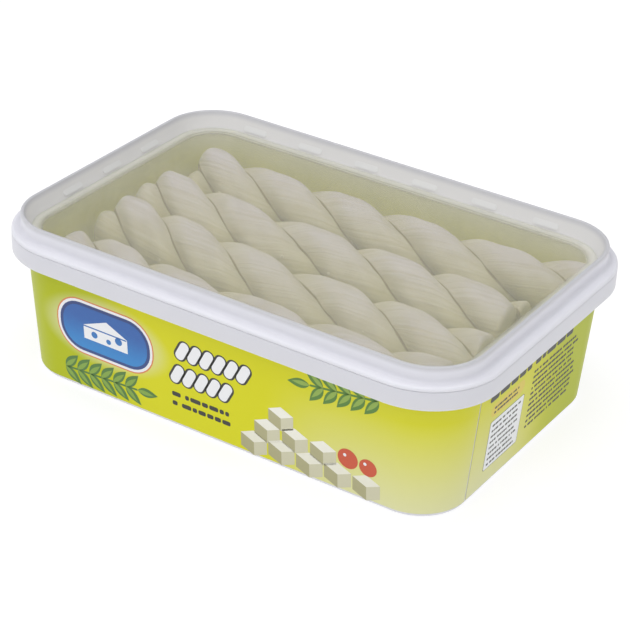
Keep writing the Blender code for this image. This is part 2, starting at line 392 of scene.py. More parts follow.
@dataclass(frozen=True)
class PrintedFilm(Finish):
    """The label's printed film: satin lime green that pales towards the foot and round the badge."""

    pale: str = "DCDCAA"
    deep: str = "B2BC08"
    pale_height: float = 37.0 * MM
    glow_at: Point = (0.0, 0.0, 0.0)
    glow_reach: Flat = (19.0 * MM, 29.0 * MM)
    grain: float = 0.7 * MM

    def towards(self, tree: bpy.types.NodeTree, outward: bpy.types.NodeSocket, heading: Point,
                start: float) -> bpy.types.NodeSocket:
        """Rise from 0 to 1 as outward turns into the line of a heading, on both sides of the tub.

        Args:
            tree: The material's node tree.
            outward: The direction from the tub's middle to the surface point.
            heading: The heading, of length 1.
            start: The squared cosine at which the rise starts.

        Returns:
            The share.
        """
        cosine = self.vector(tree, "DOT_PRODUCT", outward, heading)
        square = add_node(tree, "Math", {0: cosine, 1: cosine}, operation="MULTIPLY").outputs[0]
        return self.spread(tree, square, 0.0, 1.0, start, 1.0)

    def dress(self, tree: bpy.types.NodeTree, shader: bpy.types.Node) -> None:
        """Paint the fields: pale low down at two opposite corners, deep at the others, pale at the badges.

        Args:
            tree: The material's node tree.
            shader: The Principled shader.
        """
        place = self.place(tree)
        outward = self.vector(tree, "NORMALIZE", self.vector(tree, "MULTIPLY", place, (1.0, 1.0, 0.0)))
        near_corner = self.towards(tree, outward, (0.866, -0.5, 0.0), 0.55)
        sockets = {"Value": self.height(tree), "From Max": self.pale_height, "To Min": 1.0, "To Max": 0.05}
        low = add_node(tree, "MapRange", sockets)
        fade = add_node(tree, "Math", {0: near_corner, 1: low.outputs[0]}, operation="MULTIPLY")
        far_corner = self.towards(tree, outward, (0.866, 0.5, 0.0), 0.7)
        base = self.blend(tree, far_corner, self.colour, self.deep)
        base = self.blend(tree, fade.outputs[0], base, self.pale)
        for side in (1.0, -1.0):
            centre = (side * self.glow_at[0], side * self.glow_at[1], self.glow_at[2])
            away = self.vector(tree, "SUBTRACT", place, centre)
            oval = self.vector(tree, "MULTIPLY", away, (1.0, 1.0, 1.9))
            glow = self.spread(tree, self.vector(tree, "LENGTH", oval), 0.6, 0.0, *self.glow_reach)
            base = self.blend(tree, glow, base, self.pale)
        tree.links.new(base, shader.inputs["Base Color"])
        self.relief(tree, shader, self.noise(tree, self.grain, 1.0), 0.006 * MM)
        shader.inputs["Specular IOR Level"].default_value = 0.25


@dataclass(frozen=True)
class PrintInk(Finish):
    """Printing ink on the film: one colour that shades into a second one with height."""

    second: str = "FFFFFF"
    low: float = 0.0
    high: float = 45.0 * MM

    def dress(self, tree: bpy.types.NodeTree, shader: bpy.types.Node) -> None:
        """Shade the ink by height, with the slight unevenness of a printed field.

        Args:
            tree: The material's node tree.
            shader: The Principled shader.
        """
        rise = self.spread(tree, self.height(tree), 0.0, 1.0, self.low, self.high)
        mottle = self.spread(tree, self.noise(tree, 2.0 * MM, 2.0), -0.08, 0.08)
        share = add_node(tree, "Math", {0: rise, 1: mottle}, operation="ADD", use_clamp=True)
        mixed = self.blend(tree, share.outputs[0], self.colour, self.second)
        tree.links.new(mixed, shader.inputs["Base Color"])


@dataclass(frozen=True)
class StudioFloor(Finish):
    """White paper on a light table: matt, with a faint grain, and lit from below to keep shadows pale."""

    backlight: float = 0.75
    grain: float = 1.5 * MM

    def dress(self, tree: bpy.types.NodeTree, shader: bpy.types.Node) -> None:
        """Add the paper's grain and the light that comes up through it.

        Args:
            tree: The material's node tree.
            shader: The Principled shader.
        """
        self.relief(tree, shader, self.noise(tree, self.grain, 2.0), 0.02 * MM)
        shader.inputs["Emission Color"].default_value = (1.0, 1.0, 1.0, 1.0)
        shader.inputs["Emission Strength"].default_value = self.backlight


# ---------------------------------------------------------------- mesh helpers


@dataclass
class Mesh:
    """Points and faces gathered for one piece, each face with the number of its finish."""

    points: list = field(default_factory=list)
    faces: list = field(default_factory=list)
    slots: list = field(default_factory=list)

    def add(self, points: list, faces: list, slot: int = 0) -> None:
        """Add a body's points and its faces, which count from the body's own first point.

        Args:
            points: The body's points.
            faces: Its faces.
            slot: The number of its finish.
        """
        start = len(self.points)
        self.points.extend(points)
        self.faces.extend(tuple(start + corner for corner in face) for face in faces)
        self.slots.extend([slot] * len(faces))

    def piece(self, name: str, finishes: list, sharp: float = 40.0) -> bpy.types.Object:
        """Make the scene's object.

        Args:
            name: The object's name.
            finishes: Its materials, in the order of the slot numbers.
            sharp: Edges that turn by more than this many degrees stay crisp.

        Returns:
            The linked object.
        """
        mesh = bpy.data.meshes.new(name)
        mesh.from_pydata(self.points, [], self.faces)
        for finish in finishes:
            mesh.materials.append(finish)
        mesh.polygons.foreach_set("material_index", self.slots)
        mesh.validate()
        mesh.shade_smooth()
        mesh.set_sharp_from_angle(angle=math.radians(sharp))
        thing = bpy.data.objects.new(name, mesh)
        bpy.context.scene.collection.objects.link(thing)
        return thing


def fit(piece: bpy.types.Object, slot: str, *nodes: str) -> bpy.types.Object:
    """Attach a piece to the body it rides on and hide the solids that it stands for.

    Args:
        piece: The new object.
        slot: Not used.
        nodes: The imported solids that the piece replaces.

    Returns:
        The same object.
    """
    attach(piece, BODY)
    if nodes:
        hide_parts(*nodes)
    log.info("%s: %d faces", piece.name, len(piece.data.polygons))
    return piece


def ring_faces(rows: int, size: int, closed: bool = True) -> list:
    """Return the quads between rows of points, each row with the same number of them.

    Args:
        rows: How many rows there are.
        size: How many points a row has.
        closed: Whether each row ends where it starts.

    Returns:
        The faces.
    """
    faces = []
    for row in range(rows - 1):
        for start in range(size if closed else size - 1):
            here, after = row * size + start, row * size + (start + 1) % size
            faces.append((here, after, after + size, here + size))
    return faces


def tube_faces(rows: int, size: int) -> list:
    """Return the faces of a tube of rows of points, both of its ends filled."""
    last = (rows - 1) * size
    return ring_faces(rows, size) + [tuple(reversed(range(size))), tuple(range(last, last + size))]


def plate_faces(size: int) -> list:
    """Return the faces of a plate, whose points are its front outline and then the same one on its back."""
    rim = [(i, size + i, size + (i + 1) % size, (i + 1) % size) for i in range(size)]
    return [tuple(range(size)), tuple(reversed(range(size, 2 * size))), *rim]


def ball(centre: Point, radii: Point, rows: int = 8, size: int = 20) -> tuple[list, list]:
    """Return the points and faces of a closed ellipsoid.

    Args:
        centre: Its middle.
        radii: Its half sizes.
        rows: How many rows of points it has.
        size: How many points a row has.

    Returns:
        The points and the faces.
    """
    points = []
    for row in range(rows):
        tilt = math.pi * (row + 0.5) / rows
        for step in range(size):
            turn = 2.0 * math.pi * step / size
            unit = (math.sin(tilt) * math.cos(turn), math.sin(tilt) * math.sin(turn), -math.cos(tilt))
            points.append(tuple(c + r * u for c, r, u in zip(centre, radii, unit)))
    return points, tube_faces(rows, size)


class Plan(Enum):
    """Which corner a loop turns: the wider one of the tub's body, or the tighter one of its lip and ring."""

    BODY = 26.0 * MM
    RING = 23.9 * MM


@dataclass(frozen=True)
class Bend:
    """One corner of a swept profile: how far in from the skirt, how high, how round, and on which plan.

    The slot is the finish number of the skin from this corner to the next.
    """

    inset: float
    height: float
    radius: float = 0.0
    plan: Plan = Plan.BODY
    slot: int = 0


@dataclass
class Sweep:
    """Sweeps profiles round the tub's plan, a rectangle with rounded corners."""

    half_length: float
    half_width: float
    corner_steps: int = 16
    arc_steps: int = 4

    def loop(self, inset: float, height: float, corner: float) -> list[Point]:
        """Return the plan's outline moved in by inset, anticlockwise from above.

        Args:
            inset: How far in from the skirt it lies.
            height: Its height.
            corner: Radius of the skirt's corner on this plan.

        Returns:
            The outline's points.
        """
        points = []
        for quarter, (side_x, side_y) in enumerate(((1, 1), (-1, 1), (-1, -1), (1, -1))):
            for step in range(self.corner_steps + 1):
                angle = math.radians(90.0 * (quarter + step / self.corner_steps))
                x = side_x * (self.half_length - corner) + (corner - inset) * math.cos(angle)
                y = side_y * (self.half_width - corner) + (corner - inset) * math.sin(angle)
                points.append((x, y, height))
        return points

    def rounded(self, bends: list[Bend]) -> list[tuple[float, float, float, int]]:
        """Turn a profile's corners into arcs.

        Args:
            bends: The profile's corners in order.

        Returns:
            (inset, height, plan corner, finish number) for each point of the smooth profile.
        """
        points = []
        last = len(bends) - 1
        for number, bend in enumerate(bends):
            here = Vector((bend.inset, bend.height))
            if bend.radius <= 0.0 or number in (0, last):
                points.append((*here, bend.plan.value, bend.slot))
                continue
            before, after = bends[number - 1], bends[number + 1]
            back = (Vector((before.inset, before.height)) - here).normalized()
            ahead = (Vector((after.inset, after.height)) - here).normalized()
            half = back.angle(ahead) / 2.0
            centre = here + (back + ahead).normalized() * bend.radius / math.sin(half)
            start = here + back * bend.radius / math.tan(half) - centre
            end = here + ahead * bend.radius / math.tan(half) - centre
            for step in range(self.arc_steps + 1):
                share = step / self.arc_steps
                spoke = start.slerp(end, share) * bend.radius
                points.append((centre.x + spoke.x, centre.y + spoke.y, bend.plan.value, bend.slot))
        return points

    def solid(self, bends: list[Bend], cap_slots: tuple[int, int] = (0, 0)) -> Mesh:
        """Sweep a profile into a closed body whose first and last loops are filled.

        Args:
            bends: The profile's corners, the first loop facing away from the last.
            cap_slots: The finish numbers of the first and the last fill.

        Returns:
            The mesh.
        """
        profile = self.rounded(bends)
        size = 4 * (self.corner_steps + 1)
        points = [point for inset, height, corner, _ in profile for point in self.loop(inset, height, corner)]
        mesh = Mesh()
        mesh.add(points, tube_faces(len(profile), size))
        mesh.slots = [*(slot for *_, slot in profile[:-1] for _ in range(size)), *cap_slots]
        return mesh


# ---------------------------------------------------------------- the tub


@dataclass
class Tub:
    """The white tub: tapered wall, shoulder with a hanging skirt, and the lip that the lid snaps over.

    Insets are measured in from the skirt's outer face.
    """

    sweep: Sweep
    skirt_bottom: float
    shoulder: float
    lip_top: float
    wall_inset: float
    draft: float = 0.0781
    wall: float = 0.9 * MM
    film: float = 0.15 * MM
    floor: float = 1.0 * MM
    ledge: float = 46.0 * MM
    lip_outer: float = 5.4 * MM
    lip_inner: float = 6.3 * MM
    foot_inner: float = 13.5 * MM
    recess_inset: float = 14.0 * MM
    recess: float = 0.5 * MM
    heel: float = 1.9 * MM
    floor_round: float = 3.0 * MM
    fill_inset: float = 16.0 * MM

    def label_inset(self, z: float) -> float:
        """Inset of the label's outer face at height z."""
        return self.wall_inset + (self.skirt_bottom - z) * self.draft

    def outer(self, z: float) -> float:
        """Inset of the wall's outer face at height z."""
        return self.label_inset(z) + self.film

    def inner(self, z: float) -> float:
        """Inset of the wall's inner face at height z."""
        return self.outer(z) + self.wall

    def build(self, outside: bpy.types.Material, inside: bpy.types.Material) -> bpy.types.Object:
        """Make the tub as one closed body, with a foot ring underneath and a rounded heel.

        Args:
            outside: The moulded plastic's outer skin.
            inside: Its polished inner skin: painted brine tint and shade, paling to painted light near the
                brine's top.

        Returns:
            The fitted piece.
        """
        under = self.shoulder - self.floor
        bends = [
            Bend(self.fill_inset, self.recess),
            Bend(self.recess_inset, self.recess, 0.3 * MM),
            Bend(self.foot_inner, 0.0, 0.3 * MM),
            Bend(self.outer(0.0), 0.0, self.heel),
            Bend(self.outer(under), under, 0.5 * MM),
            Bend(self.wall, under, 0.4 * MM),
            Bend(self.wall, self.skirt_bottom, 0.25 * MM),
            Bend(0.0, self.skirt_bottom, 0.4 * MM),
            Bend(0.0, self.shoulder, 0.2 * MM),
            Bend(self.lip_outer, self.shoulder, 0.2 * MM, Plan.RING),
            Bend(self.lip_outer, self.lip_top, 0.3 * MM, Plan.RING),
            Bend(self.lip_inner, self.lip_top, 0.3 * MM, Plan.RING, 1),
            Bend(self.lip_inner, self.ledge, slot=1),
            Bend(self.inner(self.floor), self.floor, self.floor_round, slot=1),
            Bend(self.fill_inset, self.floor),
        ]
        mesh = self.sweep.solid(bends, (0, 1))
        return fit(mesh.piece("tub_moulding", [outside, inside]), "white_polypropylene", "tub")


@dataclass
class Lid:
    """The snap lid: a milky flange and stacking ring, and a thin see-through panel set low inside them.

    The ring is hollow, and the tub's lip stands in its channel. Insets are measured in from the tub's skirt.
    """

    sweep: Sweep
    under: float
    top: float
    panel_top: float
    lip_top: float
    flange: float = 1.4 * MM
    ring_outer: float = 4.1 * MM
    ring_inner: float = 7.8 * MM
    crest: float = 1.2 * MM
    bead: float = 0.58 * MM
    channel_outer: float = 5.1 * MM
    channel_inner: float = 6.6 * MM
    roof: float = 57.4 * MM
    roof_width: float = 0.2 * MM
    lip_gap: float = 0.3 * MM
    panel: float = 0.9 * MM
    panel_border: float = 0.35 * MM
    lug_z: float = 55.3 * MM
    lug: Flat = (0.05 * MM, 0.35 * MM)
    lug_length: float = 10.0 * MM
    lug_height: float = 1.8 * MM
    first_lug: float = -63.0 * MM
    lug_pitch: float = 24.4 * MM
    end_lug_pitch: float = 22.0 * MM

    def build(self, rim: bpy.types.Material, clear: bpy.types.Material, inside: bpy.types.Material,
              lugs: bpy.types.Material) -> bpy.types.Object:
        """Make the lid as one closed body in four finishes, with snap lugs inside its ring.

        Args:
            rim: The finish of the thick rim.
            clear: The finish of the thin panel.
            inside: The finish of the ring's inner face.
            lugs: The finish of the snap lugs, a little brighter than the ring as a painted highlight.

        Returns:
            The fitted piece.
        """
        flange_top = self.under + self.flange
        ring = Plan.RING
        panel_under = self.panel_top - self.panel
        bends = [
            Bend(self.channel_inner, panel_under, 0.0, ring, 1),
            Bend(self.channel_inner, self.lip_top + self.lip_gap, 0.2 * MM, ring),
            Bend(self.channel_outer + self.roof_width, self.roof, 0.0, ring),
            Bend(self.channel_outer, self.roof, 0.0, ring),
            Bend(self.channel_outer, self.under, 0.1 * MM, ring),
            Bend(0.0, self.under, 0.12 * MM),
            Bend(0.0, flange_top, 1.0 * MM),
            Bend(self.ring_outer, flange_top, 1.5 * MM, ring),
            Bend(self.ring_outer, self.top, self.bead, ring),
            Bend(self.ring_outer + self.crest, self.top, self.bead, ring, 2),
            Bend(self.ring_inner, self.panel_top, 0.3 * MM, ring, 1),
            Bend(self.ring_inner + self.panel_border, self.panel_top, 0.0, ring, 1),
        ]
        mesh = self.sweep.solid(bends, (1, 1))
        self.add_lugs(mesh)
        return fit(mesh.piece("lid_moulding", [rim, clear, inside, lugs]), "clear_polypropylene", "lid")

    def face(self, z: float) -> float:
        """Inset of the ring's inner face at height z."""
        share = (self.top - z) / (self.top - self.panel_top)
        return self.ring_outer + self.crest + share * (self.ring_inner - self.ring_outer - self.crest)

    def add_lugs(self, mesh: Mesh) -> None:
        """Add the snap lugs as low rounded wedges, evenly spaced along the ring's four inner faces.

        Args:
            mesh: The lid's mesh.
        """
        long_side = [self.first_lug + self.lug_pitch * number for number in range(6)]
        short_side = [self.end_lug_pitch * number for number in (-1, 0, 1)]
        outline = rounded_box(0.0, self.lug_z, self.lug_length, self.lug_height, self.lug_height / 2.0)
        further = self.sweep.half_length - self.sweep.half_width
        for side in (1.0, -1.0):
            for middle in long_side + short_side:
                points = []
                for facing in (1.0, -1.0):
                    for along, z in outline:
                        share = 0.5 + (self.lug_z - z) / self.lug_height
                        lift = facing * (self.lug[0] + share * (self.lug[1] - self.lug[0]))
                        out = side * (self.sweep.half_width - self.face(z) - lift)
                        points.append((middle + along, out, z))
                if middle in short_side:
                    points = [(y + side * further, x, z) for x, y, z in points]
                faces = plate_faces(len(outline))
                if (side > 0.0) == (middle in long_side):
                    faces = [tuple(reversed(face)) for face in faces]
                # slot 3: the lugs' finish, brighter as a painted highlight
                mesh.add(points, faces, 3)


@dataclass
class Liquid:
    """The brine that fills the tub to its level and reaches just into the wall, so no air shows beside it."""

    sweep: Sweep
    tub: Tub
    level: float
    reach: float = 0.25 * MM

    def build(self, finish: bpy.types.Material) -> bpy.types.Object:
        """Make the brine as one closed body.

        Args:
            finish: The brine's clear, tinted material.

        Returns:
            The fitted piece.
        """
        floor = self.tub.floor - self.reach
        bends = [
            Bend(self.tub.fill_inset, floor),
            Bend(self.tub.inner(floor) - self.reach, floor, self.tub.floor_round),
            Bend(self.tub.lip_inner - self.reach, self.tub.ledge),
            Bend(self.tub.lip_inner - self.reach, self.level, 0.0, Plan.RING),
        ]
        return fit(self.sweep.solid(bends).piece("brine_fill", [finish]), "brine", "brine")


# ---------------------------------------------------------------- the ropes of cheese


@dataclass(frozen=True)
class Sway:
    """How a rope's middle line leaves its straight run near one end: from where, how far aside and up."""

    start: float
    aside: float
    rise: float


@dataclass(frozen=True)
class Strand:
    """The section of one strand: its middle's distance from the rope's, and its half sizes."""

    offset: float = 6.3 * MM
    depth: float = 6.9 * MM
    width: float = 7.9 * MM


@dataclass
class Rope:
    """One rope of string cheese, laid right-handed from three strands of pulled curd.

    The crests are the places along the rope where a strand tops out, in millimetres.
    """

    node: str
    crests: tuple
    left: Sway
    right: Sway
    ends: Flat
    middle: Flat
    strand: Strand = Strand()
    seed: int = 1
    columns: int = 120
    ring_step: float = 1.4 * MM
    fibre_turn: float = -125.0
    swell: float = 0.28 * MM
    fullness: float = 2.4
    crease_reach: float = 1.3 * MM
    clearance: float = 0.4 * MM
    left_dome: float = 7.0 * MM
    right_dome: float = 1.6 * MM
    dome_rings: int = 8
    fibre_points: list = field(default_factory=list)
    crease_points: list = field(default_factory=list)

    def angle(self, x: np.ndarray) -> np.ndarray:
        """Angle of the first strand round the rope at each x: one of the three is on top at each crest.

        Args:
            x: Places along the tub.

        Returns:
            The angles in radians.
        """
        crests = np.array(self.crests) * MM
        index = np.interp(x, crests, np.arange(len(crests)))
        index = index + np.minimum(x - crests[0], 0.0) / (crests[1] - crests[0])
        index = index + np.maximum(x - crests[-1], 0.0) / (crests[-1] - crests[-2])
        return math.pi / 2.0 + index * 2.0 * math.pi / 3.0

    def line(self, x: np.ndarray) -> tuple[np.ndarray, np.ndarray]:
        """The middle line's y and z at each x.

        Args:
            x: Places along the tub.

        Returns:
            The places across the tub and the heights.
        """
        y, z = self.middle
        lefts = np.clip((self.left.start - x) / (self.left.start - self.ends[0]), 0.0, 1.0)
        rights = np.clip((x - self.right.start) / (self.ends[1] - self.right.start), 0.0, 1.0)
        lefts = lefts * lefts * (3.0 - 2.0 * lefts)
        rights = rights * rights * (3.0 - 2.0 * rights)
        return (y + self.left.aside * lefts + self.right.aside * rights,
                z + self.left.rise * lefts + self.right.rise * rights)

    def relief(self, fibre: np.ndarray, x: np.ndarray, rng: np.random.Generator) -> np.ndarray:
        """Height of the strand's skin: slow swellings that run with the fibres.

        Args:
            fibre: Each point's angle round the strand, followed along a fibre.
            x: Each ring's place along the rope.
            rng: The strand's own random source.

        Returns:
            One height for each ring and column, in metres.
        """
        slow = np.zeros_like(fibre)
        for count in (2, 3, 4, 6):
            phase, drift = rng.uniform(0.0, 2.0 * math.pi, 2)
            length = rng.uniform(9.0, 20.0) * MM
            slow += np.cos(count * fibre + phase) * np.sin(x[:, None] / length + drift)
        return self.swell * slow / 2.0

    def closeness(self, radial: np.ndarray, aside: np.ndarray) -> np.ndarray:
        """Tell how near each point is to the two other strands, from 0 at crease_reach to 1 at their skin.

        Args:
            radial: Each point's distance from the rope's middle, along this strand's direction.
            aside: Its distance to the side of that.

        Returns:
            The closeness.
        """
        nearest = np.full_like(radial, np.inf)
        for turn in (2.0 * math.pi / 3.0, -2.0 * math.pi / 3.0):
            u = (radial * math.cos(turn) + aside * math.sin(turn) - self.strand.offset) / self.strand.depth
            v = (aside * math.cos(turn) - radial * math.sin(turn)) / self.strand.width
            ring = (np.abs(u) ** self.fullness + np.abs(v) ** self.fullness) ** (1.0 / self.fullness)
            nearest = np.minimum(nearest, (ring - 1.0) * self.strand.depth)
        return np.clip(1.0 - nearest / self.crease_reach, 0.0, 1.0)

    def dome(self, x: np.ndarray, low: float, high: float) -> np.ndarray:
        """Scale of the strand's section: full along its run, and rounded off towards both ends.

        Args:
            x: Each ring's place along the tub.
            low: The strand's left end.
            high: Its right end.

        Returns:
            The scale of each ring, from 0.02 to 1.
        """
        into_left = np.clip((x - low) / self.left_dome, 0.0, 1.0)
        into_right = np.clip((high - x) / self.right_dome, 0.0, 1.0)
        left = np.sqrt(1.0 - (1.0 - into_left) ** 2)
        right = 0.72 + 0.28 * np.sqrt(1.0 - (1.0 - into_right) ** 2)
        return np.maximum(left * right, 0.02)

    def pressed(self, tub: Tub, x: np.ndarray, y: np.ndarray, z: np.ndarray) -> tuple[np.ndarray, np.ndarray]:
        """Press the skin back inside the tub's wall, where the rope leans on it.

        Args:
            tub: The tub.
            x: Each point's place along the tub.
            y: Each point's place across it.
            z: Each point's height.

        Returns:
            The points' new x and y.
        """
        corner = Plan.BODY.value
        core_x, core_y = tub.sweep.half_length - corner, tub.sweep.half_width - corner
        beyond_x, beyond_y = np.maximum(np.abs(x) - core_x, 0.0), np.maximum(np.abs(y) - core_y, 0.0)
        limit = corner - tub.inner(np.minimum(z, tub.ledge)) - self.clearance
        keep = np.minimum(limit / np.maximum(np.hypot(beyond_x, beyond_y), 1.0e-6), 1.0)
        return (np.sign(x) * (np.minimum(np.abs(x), core_x) + beyond_x * keep),
                np.sign(y) * (np.minimum(np.abs(y), core_y) + beyond_y * keep))

    def add_strand(self, mesh: Mesh, number: int, tub: Tub) -> None:
        """Add one strand as a closed tube whose columns follow its fibres.

        Args:
            mesh: The rope's mesh.
            number: Which of the three strands it is.
            tub: The tub that holds it.
        """
        rng = np.random.default_rng(self.seed * 10 + number)
        low = self.ends[0] + rng.uniform(0.0, 2.5) * MM
        high = self.ends[1] - rng.uniform(0.0, 1.0) * MM
        dense = np.linspace(0.0, 1.0, self.dome_rings, endpoint=False)
        run = np.arange(low + self.left_dome, high - self.right_dome, self.ring_step)
        x = np.concatenate([low + self.left_dome * dense**1.6, run,
                            high - self.right_dome * (1.0 - dense) ** 1.6, [high]])
        theta = np.linspace(0.0, 2.0 * math.pi, self.columns, endpoint=False)[None, :] + 0.0 * x[:, None]
        fibre = theta - self.fibre_turn * x[:, None]
        power = self.fullness
        swollen = (np.abs(np.cos(theta)) ** power + np.abs(np.sin(theta)) ** power) ** (-1.0 / power)
        turn = (self.angle(x) + number * 2.0 * math.pi / 3.0)[:, None]
        scale = self.dome(x, low, high)[:, None]
        lift = self.relief(fibre, x, rng)
        radial = self.strand.offset + scale * (self.strand.depth + lift) * swollen * np.cos(theta)
        aside = scale * (self.strand.width + lift) * swollen * np.sin(theta)
        middle_y, middle_z = self.line(x)
        y = middle_y[:, None] + radial * np.cos(turn) - aside * np.sin(turn)
        z = middle_z[:, None] + radial * np.sin(turn) + aside * np.cos(turn)
        stations = np.broadcast_to(x[:, None], y.shape)
        points = np.stack([*self.pressed(tub, stations, y, z), z], axis=-1).reshape(-1, 3).tolist()
        folded = np.where(theta > math.pi, theta - 2.0 * math.pi, theta)
        away = self.strand.width * (folded - self.fibre_turn * stations)
        mark = np.full_like(stations, 0.1 * number + self.seed)
        self.fibre_points.append(np.stack([away, stations, mark], axis=-1).reshape(-1, 3))
        # mask of the cheese's painted crease shade, faded out towards the rope's ends
        self.crease_points.append((self.closeness(radial, aside) * np.minimum(scale * 1.2, 1.0)).reshape(-1))
        mesh.add(points, tube_faces(len(x), self.columns))

    def build(self, finish: bpy.types.Material, tub: Tub) -> bpy.types.Object:
        """Make the rope from its three strands.

        Args:
            finish: The cheese.
            tub: The tub that holds it.

        Returns:
            The fitted piece.
        """
        mesh = Mesh()
        for number in range(3):
            self.add_strand(mesh, number, tub)
        rope = mesh.piece(self.node + "_cheese", [finish], 60.0)
        fibres = rope.data.attributes.new(FIBRE, "FLOAT_VECTOR", "POINT")
        fibres.data.foreach_set("vector", np.concatenate(self.fibre_points).reshape(-1))
        creases = rope.data.attributes.new(CREASE_SHADE, "FLOAT", "POINT")
        creases.data.foreach_set("value", np.concatenate(self.crease_points))
        return fit(rope, "string_cheese", self.node)


@dataclass
class Crumbs:
    """Crumbs of curd that lie in the valleys between the ropes."""

    count: int = 11
    seed: int = 7
    run: Flat = (-68.0, 62.0)

    def build(self, finish: bpy.types.Material, valleys: list[float], z: float) -> None:
        """Scatter the crumbs.

        Args:
            finish: The cheese.
            valleys: The valleys' places across the tub.
            z: The height that they lie at.
        """
        rng = np.random.default_rng(self.seed)
        mesh = Mesh()
        for _ in range(self.count):
            centre = (rng.uniform(*self.run) * MM, rng.choice(valleys) + rng.uniform(-1.5, 1.5) * MM,
                      z + rng.uniform(-0.5, 0.5) * MM)
            mesh.add(*ball(centre, tuple(rng.uniform(0.3, 0.7, 3) * MM), 6, 10))
        fit(mesh.piece("curd_crumbs", [finish]), "string_cheese")


# ---------------------------------------------------------------- the label


class Wall(Enum):
    """The tub's four walls, as quarter turns from the front one."""

    FRONT = 0
    RIGHT = 1
    BACK = 2
    LEFT = 3


@dataclass
class Label:
    """The printed wrap: a thin film round the wall, with its print as flat shapes of ink on every wall."""

    sweep: Sweep
    tub: Tub
    low: float
    high: float
    seam: float
    inks: dict[str, bpy.types.Material]
    layer: float = 0.02 * MM
    seam_gap: float = 0.42 * MM
    film_rows: int = 6
    meshes: dict[str, Mesh] = field(default_factory=dict)

    def on_wall(self, wall: Wall, along: float, z: float, lift: float) -> Point:
        """Place a point of the print.

        Args:
            wall: The wall that it is printed on.
            along: Distance from the wall's middle, to the right as one faces it.
            z: Height.
            lift: Distance out from the film's face.

        Returns:
            The point in the frame.
        """
        half = self.sweep.half_width if wall in (Wall.FRONT, Wall.BACK) else self.sweep.half_length
        out = half - self.tub.label_inset(z) + lift
        angle = math.radians(90.0 * wall.value)
        across = (math.cos(angle), math.sin(angle))
        outward = (math.sin(angle), -math.cos(angle))
        return (along * across[0] + out * outward[0], along * across[1] + out * outward[1], z)

    def ink(self, name: str, wall: Wall, outline: list[Flat], layer: int) -> None:
        """Print one flat shape.

        Args:
            name: The ink.
            wall: The wall that it is printed on.
            outline: Its outline as (along, height), anticlockwise.
            layer: How many inks lie beneath it.
        """
        top = (layer + 1) * self.layer
        points = [self.on_wall(wall, a, z, top) for a, z in outline]
        points += [self.on_wall(wall, a, z, -self.layer) for a, z in outline]
        self.meshes.setdefault(name, Mesh()).add(points, plate_faces(len(outline)))

    def film(self, finish: bpy.types.Material) -> bpy.types.Object:
        """Make the film: a thin sheet that starts and ends on either side of its seam.

        Args:
            finish: The printed film.

        Returns:
            The fitted piece.
        """
        inside = self.tub.film * 0.8
        pitch = (self.high - self.low) / self.film_rows
        heights = [self.low + pitch * row for row in range(self.film_rows + 1)]
        rows = [(self.tub.label_inset(z), z) for z in heights]
        rows += [(self.tub.label_inset(z) + inside, z) for z in reversed(heights)]
        loops = []
        for inset, z in rows:
            x = self.sweep.half_length - inset
            around = self.sweep.loop(inset, z, Plan.BODY.value)
            loops.append([(x, self.seam + self.seam_gap, z), *around, (x, self.seam - self.seam_gap, z)])
        size, count = len(loops[0]), len(loops)
        last = (count - 1) * size
        faces = ring_faces(count, size, closed=False)
        faces += [(last + start, last + start + 1, start + 1, start) for start in range(size - 1)]
        faces.append(tuple(row * size for row in range(count)))
        faces.append(tuple(row * size + size - 1 for row in reversed(range(count))))
        mesh = Mesh()
        mesh.add([point for loop in loops for point in loop], faces)
        return fit(mesh.piece("label_film", [finish]), "printed_film", "label")


def rounded_box(along: float, z: float, width: float, height: float, radius: float, tilt: float = 0.0,
                steps: int = 5) -> list[Flat]:
    """Outline of a box with round corners, anticlockwise, turned by tilt degrees.

    Args:
        along: Where its middle is along the wall.
        z: Height of its middle.
        width: Its width.
        height: Its height.
        radius: Radius of its corners, at most half of its smaller side.
        tilt: Its turn in degrees, anticlockwise.
        steps: How many steps a corner has.

    Returns:
        The outline.
    """
    radius = min(radius, width / 2.0, height / 2.0)
    turn = math.radians(tilt)
    outline = []
    for quarter, (side_x, side_z) in enumerate(((1, 1), (-1, 1), (-1, -1), (1, -1))):
        for step in range(steps + 1):
            angle = math.radians(90.0 * (quarter + step / steps))
            x = side_x * (width / 2.0 - radius) + radius * math.cos(angle)
            y = side_z * (height / 2.0 - radius) + radius * math.sin(angle)
            outline.append((along + x * math.cos(turn) - y * math.sin(turn),
                            z + x * math.sin(turn) + y * math.cos(turn)))
    return outline


def disc(along: float, z: float, radius: float, steps: int = 32) -> list[Flat]:
    """Outline of a disc."""
    angles = [2.0 * math.pi * step / steps for step in range(steps)]
    return [(along + radius * math.cos(a), z + radius * math.sin(a)) for a in angles]


def leaf(along: float, z: float, length: float, width: float, tilt: float, steps: int = 12) -> list[Flat]:
    """Outline of a pointed leaf from its stalk at (along, z), pointing along tilt degrees.

    Args:
        along: Where its stalk is along the wall.
        z: Height of its stalk.
        length: Its length.
        width: Its greatest width.
        tilt: Its direction in degrees.
        steps: How many steps each edge has.

    Returns:
        The outline, anticlockwise.
    """
    turn = math.radians(tilt)
    shares = [step / steps for step in range(steps + 1)]
    half = [(length * share, width / 2.0 * math.sin(math.pi * share**0.8)) for share in shares]
    right = [(x, -y) for x, y in half[:-1]]
    return [(along + x * math.cos(turn) - y * math.sin(turn), z + x * math.sin(turn) + y * math.cos(turn))
            for x, y in [*right, *reversed(half[1:])]]


